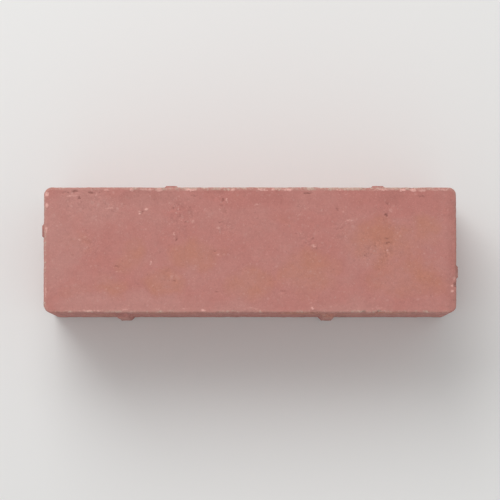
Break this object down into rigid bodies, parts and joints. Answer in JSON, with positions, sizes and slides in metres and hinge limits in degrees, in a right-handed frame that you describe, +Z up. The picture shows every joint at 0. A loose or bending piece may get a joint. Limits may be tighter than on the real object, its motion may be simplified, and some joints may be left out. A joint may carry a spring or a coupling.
{
  "type": "concrete paving stone",
  "caption": "Narrow rectangular paving stone of pressed red concrete, with rounded upright corners, a crisp flat wear face and spacer ribs on its sides, for laying in running bond.",
  "frame": {"origin": "middle of the bed face, which rests on the laying bed", "axes": "+X along the stone's length, +Y across its width, +Z up from the bed face to the wear face"},
  "size_m": [0.2036, 0.0646, 0.08],
  "materials": {
    "red_concrete": "matt, fine-grained, through-coloured with red iron oxide, with small open pores and pale sand grains"
  },
  "bodies": {
    "root": {"paving_stone": "red_concrete"}
  },
  "joints": []
}
